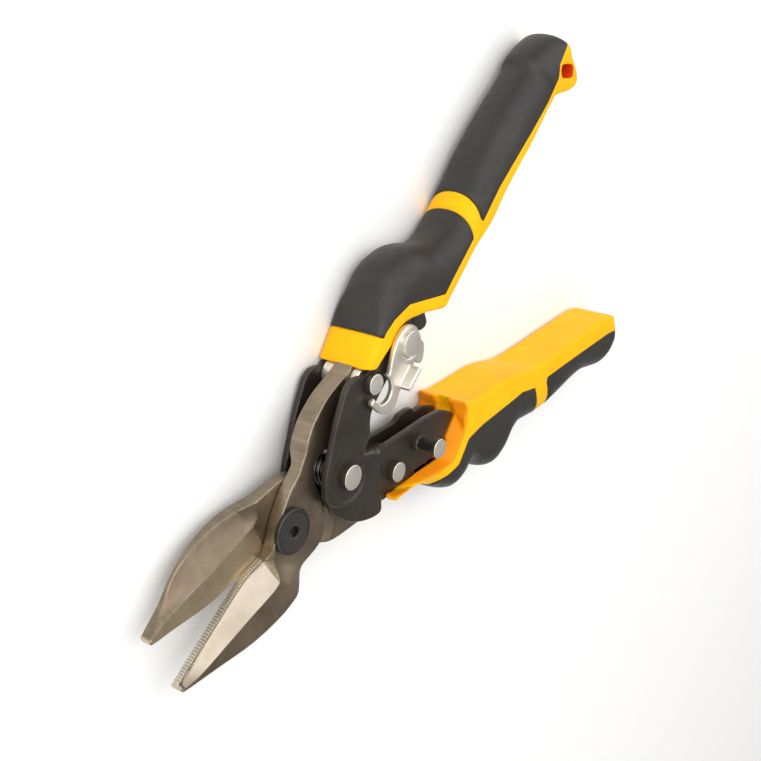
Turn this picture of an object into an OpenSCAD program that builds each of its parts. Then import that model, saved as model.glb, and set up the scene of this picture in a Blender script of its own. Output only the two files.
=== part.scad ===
/* [Blades] */
// Lower jaw tip distance from the main pivot
jaw_len = 60; // [50:0.5:70]
// Blade boss thickness on each side of the shear plane
boss_t = 5; // [4:0.1:5]
// Thickness of the jaw root
jaw_t = 8.4; // [6:0.1:9]
// Radius of the main pivot shank
bolt_r = 4; // [3:0.1:5]

/* [Linkage] */
// Tang pivot distance along the tool
tang_x = 50.5; // [48:0.1:53]
// Tang pivot distance from the centre line
tang_y = 21.76; // [20:0.01:23]
// Handle pivot distance from the main pivot
handle_x = 27.3; // [26:0.1:29]
// Shank radius of the linkage rivets
rivet_r = 3; // [2.5:0.1:3.5]
// Extra radius in the eye that floats on the lower tang rivet
eye_slack = 0.7; // [0.5:0.05:1]
// Running clearance on radius
run_c = 0.05; // [0.02:0.01:0.1]
// Frame sheet thickness
sheet = 2.4; // [2:0.1:3]

/* [Latch] */
// Latch plate thickness
latch_t = 2; // [1.5:0.1:2.5]
// Radius from latch pivot to the hook mouth
hook_r = 19.2; // [18:0.1:20]
// Radius of the hook mouth
mouth_r = 4.7; // [4.3:0.1:5]

/* [Handles] */
// Near side half thickness of the handles
hand_n = 10.9; // [9:0.1:12]
// Far side half thickness of the handles
hand_f = 11.5; // [9:0.1:12]
// Cover thickness of the soft grips
grip_t = 2.2; // [1.5:0.1:3]
// Hang hole radius
hang_r = 2.7; // [2:0.1:3.5]

/* [Hidden] */
ox = 71.8; oy = -9.9; oz = hand_f;
P1 = [tang_x, tang_y]; P3 = [tang_x, -tang_y]; P2 = [handle_x, 0];
P4 = [65.9, -22.2]; PL = [69.9, 24.1]; HH = [196.5, 53.2];
BIG = 300;
// plate outlines
UB = [[50.6,24.4],[64.6,26.1],[71.4,28.1],[76.4,27.4],[84.2,24.9],[94.9,18.8],[97.6,20],
  [107.7,23.5],[117.7,27.1],[132.2,30],[143,34.2],[166,40.5],[189.7,48.9],[192,47.6],[203,58],
  [201.5,64.5],[193,67.6],[184,66.2],[173,62.5],[160,59],[142,52.6],[128,45.5],[120,42],[112,39.6],
  [102,40],[97,43.5],[88,48],[80,48.6],[69,43.5],[60,38],[50.2,32.5]];
LB = [[42.5,-26],[44.7,-23.7],[64.6,-29.5],[69.4,-29.6],[75,-26.6],[84.1,-22.1],[89,-24],[121,-36],
  [137,-46.4],[196,-66],[198.4,-68.4],[198.8,-77],[197,-83.6],[192.6,-87.4],[186,-87.4],[177.9,-83],
  [171,-78.5],[156.7,-74.8],[142.6,-72],[131.8,-68.8],[123,-64.2],[117.5,-62.6],[112,-63.4],
  [107.5,-65.6],[99.8,-66.4],[92.4,-61.5],[89.6,-54.6],[85.5,-53.8],[78,-55.4],[70.4,-51.6],
  [64.2,-44],[60.1,-38],[50.2,-32.2],[42.3,-28.6]];
// soft grip regions
UGF = [[60.8,30.7],[80.2,32.9],[96.3,23.8],[101.4,25.8],[119.4,32],[119.8,60],[56,60],[57.5,30.2]];
UGR = [[126.6,34],[139,40.1],[167,46.2],[187.3,54.1],[191,58.7],[201,60.2],[215,70],[180,80],[126.2,60]];
LGF = [[62.5,-41.6],[77.6,-43],[86.5,-38],[96.3,-39.5],[123.6,-47.3],[132.7,-53.6],[129.5,-58.7],
  [131,-90],[60,-90],[58,-45]];
LGR = [[140.1,-54.9],[190.2,-72.2],[199,-76],[215,-80],[215,-100],[135.4,-90],[136.6,-60.7]];
// frames
UF = [[14.8,0.9],[18.6,8.5],[23.9,14],[30.3,20.7],[36.5,23.6],[39.6,29],[46,32],[60,35.4],[79,39.6],
  [79,26.5],[74.6,21.2],[71,18.8],[66,19.2],[60,17.5],[52,14.5],[46.2,12.1],[42.4,5.1],[37.6,2.1],
  [35.6,-1.9],[33.4,-7.6],[27.8,-10.6],[21.6,-9],[16.6,-4.4]];
UT = [[75,28.5],[84,29.5],[95,27],[118,30.5],[143,37.5],[180,49.5],[180,56],[143,44.5],[118,37],
  [97,37.5],[80,39.6],[75,38.6]];
UW = [[59,32.9],[79,37],[97,35.1],[118,34.6],[143,42.1],[180,53.6],[180,56],[143,44.5],[118,37],
  [97,37.5],[80,39.6],[59,35.2]];
LO = [[17,-4],[17,-9.2],[24.1,-20.7],[30,-25.4],[36.6,-28.8],[45.3,-8.6],[38,-1],[34.5,6],[27.3,9.8],
  [20.4,7.2]];
LJ = [[36.6,-28.8],[45.3,-8.6],[47.9,-9.2],[39.2,-29]];
LN = [[47,-8.9],[51.2,-9.7],[74.7,-17.8],[82.3,-21.3],[88.7,-27.8],[79.5,-32.5],[79.5,-39.5],
  [71.7,-36.8],[48.6,-29],[38.4,-28.9]];
LF = [[47,-8.9],[57.8,-12.6],[67.2,-15.8],[69.5,-14.8],[75.7,-17.2],[77.4,-19.9],[81.7,-21.2],
  [88.7,-27.8],[84,-33],[84,-41],[71.7,-36.8],[48.6,-29],[38.4,-28.9]];
LT = [[76,-33],[84,-34.5],[100,-42],[120,-48.5],[140,-55.2],[180,-68.5],[180,-75.5],[140,-62.2],
  [120,-55.5],[100,-50],[84,-43],[76,-39.1]];
LW = [[58,-29.7],[71.7,-34.4],[84,-40.6],[100,-47.6],[120,-53.1],[140,-59.8],[180,-73.1],[180,-75.5],
  [140,-62.2],[120,-55.5],[100,-50],[84,-43],[71.7,-36.8],[58,-32.1]];
LC = [[36,-5],[93,-12],[93,-38.2],[100,-41.9],[120,-48.4],[140,-55.1],[180.1,-68.4],[180.1,-75.7],
  [140,-62.4],[120,-55.7],[100,-50.2],[84,-43.2],[71.7,-37],[48.6,-29.2],[36,-29]];
// blades
TI = [[45,10.5],[38,9],[33.5,7.4],[31.5,9.4],[27,11.4],[22.5,11.2],[18.8,9],[17,5],[16.9,0]];
TA = [[49.6,28.1],[41,27.4],[35.5,26.8],[31,25.6],[26,23.6],[21.5,20.4],[18,16.8],[13,13.3]];
JA = [[6.2,10.8],[-1.5,7.2],[-6.5,0.8],[-12.6,-2],[-24,-2.1],[-jaw_len,-9.9],[-jaw_len+0.8,-11.3],
  [-47,-14.9],[-32.2,-19.7],[-20,-21.2],[-8.6,-20.9],[-2.5,-16.6],[7.4,-16.4],[12,-15],[16,-8]];
TB = [[49.6,-29.7],[40,-29],[31,-28],[24,-26],[16,-23],[9.5,-18.7],[4,-14]];
JB = [[-2.7,-8.8],[-8,-3.4],[-21.4,-1.1],[-39.6,2],[-50,5.2],[-58.5,8.6],[-57.8,9.9],[-48,12.9],
  [-41,16],[-34,18.2],[-25.5,19],[-11.2,16.7],[-3,15.3],[5,13.9],[11.2,11.9],[16,8]];
function fy(v) = [for (p = v) [p[0], -p[1]]];
function rv(v) = [for (i = [len(v) - 1 : -1 : 0]) v[i]];
UD = (-P3) / norm(P3);
// Every node and what it is:
//   blade_lower        lower jaw and the tang that runs to the upper handle
//   blade_upper        upper jaw and the tang that runs to the lower handle
//   pivot_bolt         flanged main pivot bolt
//   pivot_washer       thrust washer under the nut
//   pivot_nut          hexagon locking nut on the far side
//   upper_frame        folded steel channel of the upper handle
//   lower_frame        folded steel channel of the lower handle
//   handle_rivet       rivet joining the two frames
//   handle_bush        spacer tube round that rivet
//   return_spring      close wound spring round the bush
//   upper_tang_rivet   rivet from upper frame to lower blade's tang
//   tang_spacers       two spacer rings on the upper tang rivet
//   lower_tang_rivet   rivet from lower frame to upper blade's tang
//   latch_stud         headed stud that the latch hooks over
//   latch              pressed hook with thumb tab
//   latch_rivet        pivot of the latch
//   latch_washer       spacer washer under the latch
//   upper_sleeve       hard core and collar of the upper handle
//   upper_grip_front   soft cover at the upper thumb rest
//   upper_grip_rear    soft cover over the rest of the upper handle
//   stop_pad           rubber stop under the upper sleeve
//   lower_sleeve       hard core and collar of the lower handle
//   lower_grip_front   soft cover with two finger bumps
//   lower_grip_rear    soft cover over the rest of the lower handle

module slab(v, z0, z1) { translate([0, 0, z0]) linear_extrude(height = z1 - z0) polygon(v); }
module cyl(p, r, z0, z1) { translate([p[0], p[1], z0]) cylinder(r = r, h = z1 - z0, $fn = 96); }
module rod(a, b, r) {
  translate([a[0], a[1], 0]) rotate([0, 0, atan2(b[1] - a[1], b[0] - a[0])])
    rotate([0, 90, 0]) cylinder(r = r, h = norm(b - a), $fn = 96);
}
module place() { translate([-ox, -oy, oz]) children(); }
// half space above a plane that rises away from the line a-b
module above(a, b, z, ang) {
  translate([a[0], a[1], z]) rotate([0, 0, atan2(b[1] - a[1], b[0] - a[0])]) rotate([ang, 0, 0])
    translate([-BIG / 2, -BIG / 2, 0]) cube([BIG, BIG, BIG]);
}
module below(a, b, z, ang) { mirror([0, 0, 1]) above(a, b, z, ang); }

module blade_lower() color("dimgray") place() difference() {
  union() {
    difference() {
      slab(concat(TA, JA, rv(TI)), 0.03, boss_t);
      cyl(P1, 6.6, -9, 9);
    }
    difference() {
      slab([for (i = [3 : 10]) JA[i]], 0.03, jaw_t);
      cyl([0, 0], 15, boss_t, 20);
      above([-24, -2.1], [-60, -9.9], 2.3, 48);
      above([-17, -10], [-17, 0], jaw_t, -4.7);
    }
    difference() {
      slab(concat(TA, [[8, 13]], [[16.9, 0]], rv(TI)), -2.9, 4.4);
      cyl([0, 0], 19.8, -9, 0.03);
      cyl([0, 0], 12, -9, 9);
    }
    cyl(P1, 6.6, -2.9, 4.4);
  }
  cyl([0, 0], bolt_r + run_c, -20, 20);
  cyl(P1, rivet_r + run_c, -20, 20);
}
module blade_upper() color("gray") place() difference() {
  union() {
    slab(concat(TB, JB, rv(fy(TI))), -boss_t, -0.03);
    difference() {
      slab([for (i = [1 : 11]) JB[i]], -jaw_t, -0.03);
      cyl([0, 0], 15, -20, -boss_t);
      below([-50, 5.2], [-21.4, -1.1], 0.6, 55);
      below([-17, -10], [-17, 0], jaw_t, -4.7);
    }
    difference() {
      slab(concat(TB, [[16.9, 0]], rv(fy(TI))), -4.4, 2.9);
      cyl([0, 0], 19.8, -0.03, 9);
      cyl([0, 0], 12, -9, 9);
    }
    cyl(P3, 8, -4, 2.9);
  }
  cyl([0, 0], bolt_r + run_c, -20, 20);
  cyl(P3, rivet_r + eye_slack, -20, 20);
  // thinned end of the tang, between the cheeks of the lower frame
  translate([P3[0], P3[1], -20]) rotate([0, 0, atan2(UD[1], UD[0])])
    translate([-30, -20, 0]) cube([42.5, 40, 20 - 2.9]);
}
module pivot_bolt() color("black") place() difference() {
  union() {
    cyl([0, 0], bolt_r, -10.2, 5.2);
    cyl([0, 0], 8.2, 5.02, 6.1);
    cyl([0, 0], 7.3, 6, 7.5);
  }
  cyl([0, 0], 2.2, 5.4, 10);
}
module pivot_washer() color("silver") place() difference() {
  cyl([0, 0], 7.6, -5.5, -5.02);
  cyl([0, 0], bolt_r + run_c, -9, 0);
}
module pivot_nut() color("gray") place() difference() {
  union() {
    translate([0, 0, -9.6]) cylinder(r = 7.5, h = 4.05, $fn = 6);
    cyl([0, 0], 5.6, -10.6, -9.5);
  }
  cyl([0, 0], bolt_r + run_c, -20, 0);
}
module upper_frame() color("#3a3a3c") place() difference() {
  union() {
    slab(UF, 7.6, 10);
    slab(UF, -10, -7.6);
    cyl(PL, 5.5, 7.6, 10);
    slab(UT, 5.6, 8);
    slab(UT, -8, -5.6);
    slab([[75, 28.5], [79, 28.8], [79, 39.4], [75, 38.6]], 5.6, 10);
    slab([[75, 28.5], [79, 28.8], [79, 39.4], [75, 38.6]], -10, -5.6);
    slab(UW, -8, 8);
  }
  cyl(P1, rivet_r + run_c, -20, 20);
  cyl(P2, rivet_r + run_c, -20, 20);
  cyl(PL, 2.5 + run_c, 0, 20);
  cyl(P2, 9.2, 9.6, 20);
}
module lower_frame() color("#444446") place() difference() {
  union() {
    slab(LO, 5.3, 7.3);
    slab(LO, -7.3, -5.3);
    slab(LJ, 3.1, 7.3);
    slab(LJ, -7.3, -3.1);
    slab(LN, 3.1, 5.5);
    slab(LF, -5.5, -3.1);
    slab(LT, 3.1, 5.5);
    slab(LT, -5.5, -3.1);
    slab(LW, -5.5, 5.5);
  }
  cyl(P2, rivet_r + run_c, -20, 20);
  cyl(P3, rivet_r + run_c, -20, 20);
  cyl(P4, 2 + run_c, -20, 20);
}
module handle_rivet() color("silver") place() {
  cyl(P2, rivet_r, -10.3, 10.2);
  cyl(P2, 4.4, 9.62, 12);
  cyl(P2, 4.6, -11.3, -10.02);
}
module handle_bush() color("gray") place() difference() {
  cyl(P2, 4, -5.1, 5.1);
  cyl(P2, rivet_r + run_c, -20, 20);
}
module return_spring() color("gray") place() translate([P2[0], P2[1], 0])
  for (i = [-2 : 2]) translate([0, 0, i * 1.7])
    rotate_extrude($fn = 96) translate([5.25, 0]) circle(r = 0.95, $fn = 32);
module upper_tang_rivet() color("silver") place() {
  cyl(P1, rivet_r, -10.3, 10.3);
  cyl(P1, 3.6, 10.02, 12.5);
  cyl(P1, 4.2, -11.3, -10.02);
}
module tang_spacers() color("silver") place() difference() {
  union() {
    cyl(P1, 5.2, 4.45, 7.55);
    cyl(P1, 5.2, -7.55, -2.95);
  }
  cyl(P1, rivet_r + run_c, -20, 20);
}
module lower_tang_rivet() color("silver") place() {
  cyl(P3, rivet_r, -5.8, 5.8);
  cyl(P3, 3.7, 5.52, 8.2);
  cyl(P3, 4.2, -7.2, -5.52);
}
module latch_stud() color("silver") place() {
  cyl(P4, 2, -5.8, 14);
  cyl(P4, 3.7, 13.6, 15.6);
  cyl(P4, 3.1, 5.52, 7.4);
  cyl(P4, 3.2, -7, -5.52);
}
module latch() color("#b9b4a6") place() difference() {
  union() {
    slab([[72.8,29.2],[76,26],[77,23],[76.7,18.2],[74.3,14.2],[71.9,13],[69.9,15.7],[68.2,14.8],
      [58.7,11.75],[55.9,9.6],[52.9,8.4],[49.6,9.2],[47.2,11.4],[45.4,14.6],[44.4,18],[44.8,19],
      [46.6,19.2],[56,20],[58.3,22.95],[61.7,26.45],[65.8,28.75],[69.4,29.8]], 11.2, 11.2 + latch_t);
    slab([[68.2,14.8],[58.7,11.75],[58.2,13.35],[67.7,16.4]], 11.2, 17.4);
  }
  cyl(PL, 2.5 + run_c, 0, 30);
  // hook mouth, swept from its seat to its open end
  for (a = [198, 190, 182]) cyl(PL + hook_r * [cos(a), sin(a)], mouth_r, 0, 30);
}
module latch_rivet() color("silver") place() {
  cyl(PL, 2.5, 6.8, 13.6);
  cyl(PL, 4.5, 13.22, 15);
  cyl(PL, 3.6, 6.6, 7.58);
}
module latch_washer() color("silver") place() difference() {
  cyl(PL, 5, 10.02, 11.15);
  cyl(PL, 2.5 + run_c, 0, 30);
}
module u_round(c) {
  rod([40, 33.5], [112, 33.5], 17 - c);
  rod([100, 26.7], [207, 59.4], 12.3 - c);
}
module l_round(c) {
  rod([30, -16.6], [124, -52.1], 18 - c);
  rod([108, -48.2], [210, -82.1], 13 - c);
}
module u_body() intersection() { slab(UB, -hand_f, hand_n); u_round(0); }
module l_body() intersection() { slab(LB, -hand_f, hand_n); l_round(0); }
module u_core(c) intersection() {
  slab(UB, -hand_f + c, hand_n - c);
  translate([0.6, -c - 0.3, 0]) slab(UB, -hand_f, hand_n);
  u_round(c);
}
module l_core(c) intersection() {
  slab(LB, -hand_f + c, hand_n - c);
  translate([0.6, c + 0.3, 0]) slab(LB, -hand_f, hand_n);
  l_round(c);
}
module u_cut() {
  slab([[30,0],[79.1,0],[79.1,39.8],[60,35.6],[46,32.2],[30,30]], -10.05, 10.05);
  slab([[75,28.3],[84,29.3],[95,26.8],[118,30.3],[143,37.3],[180.2,49.3],[180.2,56.2],[143,44.7],
    [118,37.2],[97,37.7],[80,39.8],[75,38.8]], -8.02, 8.02);
}
module upper_sleeve() color("gold") place() difference() {
  union() {
    difference() {
      u_body();
      difference() { slab(UGF, -20, 20); u_core(grip_t + 0.15); }
      difference() { slab(UGR, -20, 20); u_core(grip_t + 0.15); }
    }
    slab([[188.5,48.5],[192.5,46.2],[198,45.3],[202,47],[203.6,50.5],[202.6,57],[199,60],[190,58]], -8, 8);
  }
  u_cut();
  cyl(HH, hang_r, -20, 20);
  // clearance round the rivet heads and the latch washer
  cyl(P1, 4.4, -20, 20);
  cyl(PL, 5.3, 8, 20);
}
module lower_sleeve() color("gold") place() difference() {
  l_body();
  difference() { slab(LGF, -20, 20); l_core(grip_t + 0.15); }
  difference() { slab(LGR, -20, 20); l_core(grip_t + 0.15); }
  slab(LC, -5.6, 5.6);
  // clearance round the upper blade's eye and its rivet
  cyl(P3, 8.6, -5.6, 5.6);
  slab([[36, -22], [52, -22], [52, -30.4], [48, -30.6], [36, -29.8]], -5.6, 5.6);
  cyl(P3, 4.5, -20, 20);
}
module upper_grip_front() color("#2b2b2b") place() difference() {
  intersection() { u_body(); slab(UGF, -20, 20); }
  u_core(grip_t);
  u_cut();
}
module upper_grip_rear() color("#2b2b2b") place() difference() {
  intersection() { u_body(); slab(UGR, -20, 20); }
  u_core(grip_t);
  slab([[188,45],[205,45],[203.8,57.4],[199.2,60.2],[189,58.2]], -8.05, 8.05);
}
module lower_grip_front() color("#2b2b2b") place() difference() {
  intersection() { l_body(); slab(LGF, -20, 20); }
  l_core(grip_t);
}
module lower_grip_rear() color("#2b2b2b") place() difference() {
  intersection() { l_body(); slab(LGR, -20, 20); }
  l_core(grip_t);
}
module stop_pad() color("#222222") place()
  slab([[86,11.5],[87.5,9.8],[93,9.3],[95,10.8],[94.9,18.8],[86.5,23.588]], -2.7, 2.7);

blade_lower();
blade_upper();
pivot_bolt();
pivot_washer();
pivot_nut();
upper_frame();
lower_frame();
handle_rivet();
handle_bush();
return_spring();
upper_tang_rivet();
tang_spacers();
lower_tang_rivet();
latch_stud();
latch();
latch_rivet();
latch_washer();
upper_sleeve();
upper_grip_front();
upper_grip_rear();
stop_pad();
lower_sleeve();
lower_grip_front();
lower_grip_rear();
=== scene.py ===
import bpy, bmesh, math
import numpy as np
from mathutils import Vector, Matrix
from mathutils.geometry import delaunay_2d_cdt


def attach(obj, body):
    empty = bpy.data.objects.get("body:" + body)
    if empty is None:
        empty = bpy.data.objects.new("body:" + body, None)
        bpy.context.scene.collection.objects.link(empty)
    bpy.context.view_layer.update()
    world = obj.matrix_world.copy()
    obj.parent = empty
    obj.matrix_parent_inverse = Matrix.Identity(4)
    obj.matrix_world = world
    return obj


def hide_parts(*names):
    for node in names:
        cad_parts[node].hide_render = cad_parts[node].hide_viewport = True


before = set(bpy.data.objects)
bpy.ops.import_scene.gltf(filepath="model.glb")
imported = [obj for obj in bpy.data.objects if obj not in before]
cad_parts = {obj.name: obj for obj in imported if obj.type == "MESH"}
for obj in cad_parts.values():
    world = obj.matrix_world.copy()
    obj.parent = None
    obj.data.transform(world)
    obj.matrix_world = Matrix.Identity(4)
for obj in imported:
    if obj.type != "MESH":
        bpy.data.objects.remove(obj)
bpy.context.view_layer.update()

MM = 0.001
OX, OY, OZ = 71.8, -9.9, 11.5      # the tool frame's origin is the main pivot, on the shear plane
P0, P1, P2, P3 = (0, 0), (50.5, 21.76), (27.3, 0), (50.5, -21.76)
P4, PL = (65.9, -22.2), (69.9, 24.1)


def row(x, y, z):
    return ((x - OX) * MM, (y - OY) * MM, (z + OZ) * MM)


# ---------------------------------------------------------------- materials
def new_mat(name):
    m = bpy.data.materials.new(name)
    m.use_nodes = True
    nt = m.node_tree
    b = nt.nodes["Principled BSDF"]
    return m, nt, b


def coords(nt, scale=(1, 1, 1)):
    tc = nt.nodes.new("ShaderNodeTexCoord")
    mp = nt.nodes.new("ShaderNodeMapping")
    mp.inputs["Scale"].default_value = scale
    nt.links.new(tc.outputs["Object"], mp.inputs["Vector"])
    return mp.outputs["Vector"]


def noise(nt, vec, scale, detail=4, rough=0.55):
    n = nt.nodes.new("ShaderNodeTexNoise")
    n.inputs["Scale"].default_value = scale
    n.inputs["Detail"].default_value = detail
    n.inputs["Roughness"].default_value = rough
    nt.links.new(vec, n.inputs["Vector"])
    return n.outputs["Fac"]


def ramp(nt, fac, stops):
    r = nt.nodes.new("ShaderNodeValToRGB")
    el = r.color_ramp.elements
    while len(el) < len(stops):
        el.new(0.5)
    for e, (p, c) in zip(el, stops):
        e.position = p
        e.color = c if len(c) == 4 else (*c, 1)
    nt.links.new(fac, r.inputs["Fac"])
    return r.outputs["Color"]


def grey(v):
    return (v, v, v, 1)


def bump(nt, b, height, strength, dist=0.0002):
    n = nt.nodes.new("ShaderNodeBump")
    n.inputs["Strength"].default_value = strength
    n.inputs["Distance"].default_value = dist
    nt.links.new(height, n.inputs["Height"])
    nt.links.new(n.outputs["Normal"], b.inputs["Normal"])


def edge_wear(nt, base, edge_col, lo=0.52, hi=0.62):
    """Lighter colour where the surface is convex."""
    g = nt.nodes.new("ShaderNodeNewGeometry")
    f = ramp(nt, g.outputs["Pointiness"], [(lo, grey(0)), (hi, grey(1))])
    mx = nt.nodes.new("ShaderNodeMix")
    mx.data_type = "RGBA"
    nt.links.new(f, mx.inputs["Factor"])
    nt.links.new(base, mx.inputs["A"])
    mx.inputs["B"].default_value = edge_col
    return mx.outputs["Result"]


def metal(name, dark, light, rough=(0.35, 0.5), metallic=1.0, grain=(900, 900, 900), bstr=0.25, wear=None,
    blotch=90):
    m, nt, b = new_mat(name)
    v = coords(nt)
    big = noise(nt, v, blotch, 6, 0.6)
    col = ramp(nt, big, [(0.3, (*dark, 1)), (0.7, (*light, 1))])
    if wear:
        col = edge_wear(nt, col, (*wear, 1))
    nt.links.new(col, b.inputs["Base Color"])
    b.inputs["Metallic"].default_value = metallic
    fine = noise(nt, coords(nt, grain), 1.0, 5, 0.65)
    r = ramp(nt, fine, [(0.3, grey(rough[0])), (0.7, grey(rough[1]))])
    nt.links.new(r, b.inputs["Roughness"])
    bump(nt, b, fine, bstr, 0.00012)
    return m


# the blades' own dark forged colour; on the blades it also serves as painted shade in the groove beside the
# teeth and at the root by the boss
FORGED_AND_SHADE = metal("forged_steel", (0.155, 0.118, 0.082), (0.285, 0.227, 0.16), (0.30, 0.42), 0.9,
    (1500, 1500, 1500), 0.3,
               wear=(0.66, 0.57, 0.45), blotch=70)
SHEAR = metal("shear_face", (0.38, 0.295, 0.19), (0.50, 0.40, 0.27), (0.3, 0.4), 0.9, (500, 2200, 2200),
    0.2)
GROUND = metal("ground_face", (0.42, 0.36, 0.285), (0.56, 0.485, 0.395), (0.42, 0.54), 0.8,
    (500, 2600, 2600), 0.16)
TEETH = metal("serrated_edge", (0.44, 0.40, 0.33), (0.64, 0.59, 0.50), (0.26, 0.38), 0.9,
    (3000, 3000, 3000), 0.12)
OXIDE = metal("black_oxide", (0.023, 0.0185, 0.0145), (0.046, 0.038, 0.030), (0.28, 0.42), 0.4,
    (1600, 1600, 1600), 0.2,
              wear=(0.12, 0.095, 0.075), blotch=60)
OXIDE2 = metal("black_bolt", (0.009, 0.009, 0.009), (0.022, 0.021, 0.020), (0.26, 0.38), 0.3,
    (1600, 1600, 1600), 0.1,
               wear=(0.07, 0.065, 0.06))
BOLT_FACE = metal("bolt_face", (0.045, 0.042, 0.038), (0.075, 0.07, 0.063), (0.3, 0.42), 0.6,
    (1600, 1600, 1600), 0.15)
NICKEL = metal("dull_nickel", (0.60, 0.565, 0.49), (0.76, 0.72, 0.64), (0.3, 0.42), 0.85,
    (1400, 1400, 1400), 0.14,
               wear=(0.88, 0.85, 0.78))
SPRING = metal("spring_wire", (0.16, 0.155, 0.15), (0.26, 0.25, 0.24), (0.25, 0.35), 1.0, (600, 600, 600),
    0.1)


def inside_planes(nt, planes):
    """1 on the inner side of every plane (point, inward direction; tool frame, mm), 0 outside."""
    tex = nt.nodes.new("ShaderNodeTexCoord")
    depth = None
    for p, n in planes:
        n = np.array(n, float) / np.hypot(*n)
        dot = nt.nodes.new("ShaderNodeVectorMath")
        dot.operation = "DOT_PRODUCT"
        nt.links.new(tex.outputs["Object"], dot.inputs[0])
        dot.inputs[1].default_value = (n[0], n[1], 0)
        add = nt.nodes.new("ShaderNodeMath")
        add.operation = "ADD"
        nt.links.new(dot.outputs["Value"], add.inputs[0])
        add.inputs[1].default_value = float(n[0] * (OX - p[0]) + n[1] * (OY - p[1])) * MM
        if depth is not None:
            least = nt.nodes.new("ShaderNodeMath")
            least.operation = "MINIMUM"
            nt.links.new(depth, least.inputs[0])
            nt.links.new(add.outputs[0], least.inputs[1])
            depth = least.outputs[0]
        else:
            depth = add.outputs[0]
    edge = nt.nodes.new("ShaderNodeMapRange")
    nt.links.new(depth, edge.inputs["Value"])
    edge.inputs["From Min"].default_value, edge.inputs["From Max"].default_value = -0.00012, 0.00012
    return edge.outputs[0]


def plastic(name, a, c, rough, bstr, planes=(), a2=None, c2=None, spec=0.28):
    m, nt, b = new_mat(name)
    v = coords(nt)
    col = ramp(nt, noise(nt, v, 45, 3), [(0.3, (*a, 1)), (0.7, (*c, 1))])
    # inside the planes a second colour (a2 to c2) replaces the first; the mouth material uses it as painted
    # shade
    if planes:
        mix = nt.nodes.new("ShaderNodeMix")
        mix.data_type = "RGBA"
        nt.links.new(inside_planes(nt, planes), mix.inputs[0])
        nt.links.new(col, mix.inputs[6])
        nt.links.new(ramp(nt, noise(nt, v, 45, 3), [(0.3, (*a2, 1)), (0.7, (*c2, 1))]), mix.inputs[7])
        col = mix.outputs[2]
    nt.links.new(col, b.inputs["Base Color"])
    fine = noise(nt, v, 2600, 4, 0.6)
    nt.links.new(ramp(nt, noise(nt, v, 300, 3), [(0.3, grey(rough[0])), (0.7, grey(rough[1]))]),
        b.inputs["Roughness"])
    b.inputs["Specular IOR Level"].default_value = spec
    bump(nt, b, fine, bstr, 0.00008)
    return m


YEL_A, YEL_B = (0.93, 0.455, 0.0005), (0.99, 0.52, 0.001)
YELLOW = plastic("yellow_moulding", YEL_A, YEL_B, (0.44, 0.54), 0.10, spec=0.16)
# mouth of the lower sleeve: inside the planes the yellow turns a deeper orange, painted shade on the bevel
# of the mouth
MOUTH_PAINTED_SHADE = plastic("yellow_mouth_painted_shade", YEL_A, YEL_B, (0.44, 0.54), 0.10,
                [((90.9, -20), (-7.0, 0.5)), ((84.9, -34.5), (-7.5, 5.4)), ((84.9, -34.5), (-5.1, 10.1)),
                ((74.8, -39.6), (4.7, 14.3)),
                 ((60.5, -34.2), (5.2, 11.5))], (0.82, 0.24, 0.001), (0.92, 0.31, 0.002), spec=0.16)
# deep orange: painted shade on the walls of the hanging hole in the upper sleeve's lug
LUG_HOLE_PAINTED_SHADE = plastic("deep_orange_painted_shade", (0.72, 0.055, 0.001), (0.85, 0.085, 0.002), (0.42, 0.52), 0.10)
RUBBER = plastic("soft_grip", (0.0145, 0.012, 0.0095), (0.023, 0.019, 0.015), (0.42, 0.54), 0.5, spec=0.5)


# ---------------------------------------------------------------- mesh helpers
def finish_mesh(name, bm, mats, body, replaces=(), angle=32, mat_fn=None):
    bmesh.ops.remove_doubles(bm, verts=bm.verts, dist=1e-7)
    bmesh.ops.recalc_face_normals(bm, faces=bm.faces)
    for f in bm.faces:
        f.smooth = True
        if mat_fn:
            f.material_index = mat_fn(f)
    lim = math.radians(angle)
    for e in bm.edges:
        e.smooth = len(e.link_faces) == 2 and e.calc_face_angle(0) < lim
    me = bpy.data.meshes.new(name)
    bm.to_mesh(me)
    bm.free()
    for m in mats:
        me.materials.append(m)
    o = bpy.data.objects.new(name, me)
    bpy.context.scene.collection.objects.link(o)
    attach(o, body)
    if replaces:
        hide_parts(*replaces)
    return o


def smooth(pts, n=5, closed=True, sharp=()):
    """Catmull-Rom through the points; the indices in sharp stay corners."""
    P = np.array(pts, float)
    k = len(P)
    out = []
    for i in range(k if closed else k - 1):
        p0, p1, p2, p3 = (P[(i + j - 1) % k] if closed else P[min(max(i + j - 1, 0), k - 1)]
            for j in range(4))
        L = np.linalg.norm(p2 - p1)
        la, lb = np.linalg.norm(p1 - p0) + 1e-9, np.linalg.norm(p3 - p2) + 1e-9
        t1 = 0 * p1 if i in sharp else (p2 - p0) / (la + L) * L
        t2 = 0 * p1 if (i + 1) % k in sharp else (p3 - p1) / (lb + L) * L
        for s in np.linspace(0, 1, n, endpoint=False):
            h = (2 * s**3 - 3 * s**2 + 1, s**3 - 2 * s**2 + s, -2 * s**3 + 3 * s**2, s**3 - s**2)
            out.append(h[0] * p1 + h[1] * t1 + h[2] * p2 + h[3] * t2)
    if not closed:
        out.append(P[-1])
    return np.array(out)


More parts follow.
